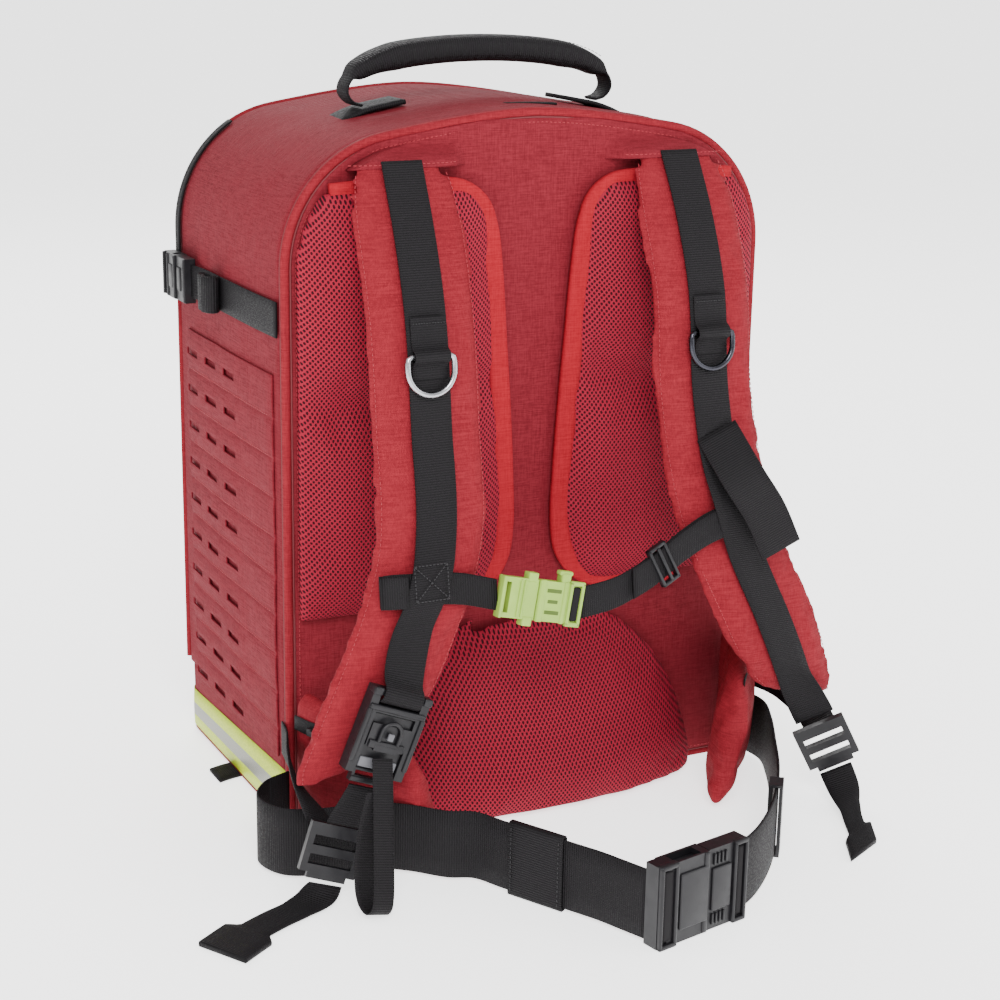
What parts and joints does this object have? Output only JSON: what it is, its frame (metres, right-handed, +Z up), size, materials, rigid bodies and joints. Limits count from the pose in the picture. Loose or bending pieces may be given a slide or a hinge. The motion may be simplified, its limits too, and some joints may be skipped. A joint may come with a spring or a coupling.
{
  "type": "trauma backpack",
  "caption": "First responder's backpack with clamshell lid, padded harness, mesh lumbar pad, waist belt, quick-release buckles and webbing grid sides.",
  "frame": {"origin": "middle of the flat underside that the bag stands on", "axes": "+Z up, +Y out of the lid, -Y towards the wearer, +X to the right seen from the harness side"},
  "size_m": [0.5273, 0.5153, 0.557],
  "materials": {
    "shell_cloth": "matte ripstop weave",
    "pad_cloth": "matte ripstop weave over foam",
    "spacer_mesh": "open hexagonal spacer mesh",
    "webbing": "ribbed woven webbing",
    "black_plastic": "satin moulded",
    "lime_plastic": "satin moulded",
    "reflective_tape": "coated tape, silvery sheen",
    "ring_metal": "polished",
    "liner": "matte lining",
    "frame_plastic": "plain sheet"
  },
  "bodies": {
    "bag": {"back_panel": "shell_cloth", "back_piping": "shell_cloth", "frame_sheet": "frame_plastic", "top_panel": "shell_cloth", "side_panel_left": "shell_cloth", "side_panel_right": "shell_cloth", "front_surround": "shell_cloth", "base_tray": "shell_cloth", "reflective_band": "reflective_tape", "shelf_divider": "liner", "lumbar_pad": "spacer_mesh", "molle_panel_left": "shell_cloth", "molle_panel_right": "shell_cloth", "side_strap_left": "webbing", "side_strap_right": "webbing", "mesh_pad_left": "spacer_mesh", "mesh_pad_right": "spacer_mesh", "hip_wing_left": "pad_cloth", "hip_wing_right": "pad_cloth", "shoulder_pad_left": "pad_cloth", "shoulder_pad_right": "pad_cloth", "shoulder_webbing_left": "webbing", "shoulder_webbing_right": "webbing", "chest_strap_left": "webbing", "chest_strap_right": "webbing", "side_buckle_left_socket": "black_plastic", "side_buckle_right_socket": "black_plastic", "chest_buckle_socket": "lime_plastic", "quick_release_frame": "black_plastic", "quick_release_webbing": "webbing", "anchor_webbing_left": "webbing", "anchor_webbing_right": "webbing", "strap_tail_left": "webbing", "strap_tail_right": "webbing", "belt_left": "webbing", "belt_right": "webbing", "belt_adjuster": "black_plastic", "waist_buckle_socket": "black_plastic"},
    "lid": {"front_lid": "shell_cloth", "front_pocket": "shell_cloth", "lid_organiser": "liner"},
    "handle": {"carry_handle": "webbing"},
    "ring_left": {"d_ring_left": "ring_metal"},
    "ring_right": {"d_ring_right": "ring_metal"},
    "chest_plug": {"chest_buckle_plug": "lime_plastic"},
    "waist_plug": {"waist_buckle_plug": "black_plastic"},
    "side_plug_left": {"side_buckle_left_plug": "black_plastic"},
    "side_plug_right": {"side_buckle_right_plug": "black_plastic"},
    "tongue": {"quick_release_tongue": "black_plastic"},
    "latch": {"quick_release_latch": "black_plastic", "pull_loop": "webbing"},
    "ladder_left": {"ladder_lock_left": "black_plastic"},
    "ladder_right": {"ladder_lock_right": "black_plastic"},
    "keeper": {"belt_keeper": "webbing"},
    "zip_left": {"zip_slider_left": "ring_metal"},
    "zip_right": {"zip_slider_right": "ring_metal"},
    "zip_pull_left": {"zip_pull_left": "black_plastic"},
    "zip_pull_right": {"zip_pull_right": "black_plastic"},
    "wing_slider_left": {"wing_slider_left": "black_plastic"},
    "wing_slider_right": {"wing_slider_right": "black_plastic"}
  },
  "joints": [
    {"name": "lid_hinge", "type": "hinge", "parent": "bag", "child": "lid", "pos_m": [0, 0.112, 0.0605], "axis": [-1, 0, 0], "range_deg": [0, 90]},
    {"name": "handle_swing", "type": "hinge", "parent": "bag", "child": "handle", "pos_m": [0, -0.02, 0.506], "axis": [1, 0, 0], "range_deg": [-55, 55]},
    {"name": "d_ring_left_swing", "type": "hinge", "parent": "bag", "child": "ring_left", "pos_m": [-0.1098, -0.1788, 0.3576], "axis": [-1, 0, 0], "range_deg": [0, 150]},
    {"name": "d_ring_right_swing", "type": "hinge", "parent": "bag", "child": "ring_right", "pos_m": [0.1098, -0.1788, 0.3576], "axis": [-1, 0, 0], "range_deg": [0, 150]},
    {"name": "chest_buckle_release", "type": "slide", "parent": "bag", "child": "chest_plug", "axis": [-0.973, 0, 0.231], "range_m": [0, 0.022], "deforming": ["chest_strap_left"]},
    {"name": "waist_buckle_release", "type": "slide", "parent": "bag", "child": "waist_plug", "axis": [0.9806, 0.1961, 0], "range_m": [0, 0.03], "deforming": ["belt_right"]},
    {"name": "side_buckle_left_release", "type": "slide", "parent": "bag", "child": "side_plug_left", "axis": [0, -1, 0], "range_m": [0, 0.014], "deforming": ["side_strap_left"]},
    {"name": "side_buckle_right_release", "type": "slide", "parent": "bag", "child": "side_plug_right", "axis": [0, -1, 0], "range_m": [0, 0.014], "deforming": ["side_strap_right"]},
    {"name": "tongue_slide", "type": "slide", "parent": "bag", "child": "tongue", "axis": [-0.38, 0, -0.925], "range_m": [0, 0.016], "deforming": ["quick_release_webbing", "pull_loop"]},
    {"name": "latch_slide", "type": "slide", "parent": "tongue", "child": "latch", "axis": [-0.38, 0, -0.925], "range_m": [0, 0.004], "stiffness_N_per_m": 400, "springref_m": -0.002},
    {"name": "ladder_lock_left_tilt", "type": "hinge", "parent": "bag", "child": "ladder_left", "pos_m": [-0.19279, -0.2148, 0.04517], "axis": [-0.9321, 0.1349, 0.3363], "range_deg": [0, 20], "deforming": ["strap_tail_left"]},
    {"name": "ladder_lock_right_tilt", "type": "hinge", "parent": "bag", "child": "ladder_right", "pos_m": [0.19561, -0.2198, 0.05566], "axis": [-0.7783, 0.4446, -0.4435], "range_deg": [0, 20], "deforming": ["strap_tail_right"]},
    {"name": "belt_keeper_slide", "type": "slide", "parent": "bag", "child": "keeper", "axis": [0.473, -0.881, 0], "range_m": [-0.012, 0.012]},
    {"name": "zip_left_slide", "type": "slide", "parent": "bag", "child": "zip_left", "axis": [0, 0, -1], "range_m": [0, 0.29]},
    {"name": "zip_pull_left_swing", "type": "hinge", "parent": "zip_left", "child": "zip_pull_left", "pos_m": [-0.1681, 0.1198, 0.3945], "axis": [1, 0, 0], "range_deg": [0, 170]},
    {"name": "zip_right_slide", "type": "slide", "parent": "bag", "child": "zip_right", "axis": [0, 0, -1], "range_m": [0, 0.29]},
    {"name": "zip_pull_right_swing", "type": "hinge", "parent": "zip_right", "child": "zip_pull_right", "pos_m": [0.1681, 0.1198, 0.3945], "axis": [1, 0, 0], "range_deg": [0, 170]},
    {"name": "wing_slider_left_slide", "type": "slide", "parent": "bag", "child": "wing_slider_left", "axis": [0.5513, -0.8343, 0], "range_m": [0, 0.02]},
    {"name": "wing_slider_right_slide", "type": "slide", "parent": "bag", "child": "wing_slider_right", "axis": [-0.5513, -0.8343, 0], "range_m": [0, 0.02]}
  ]
}
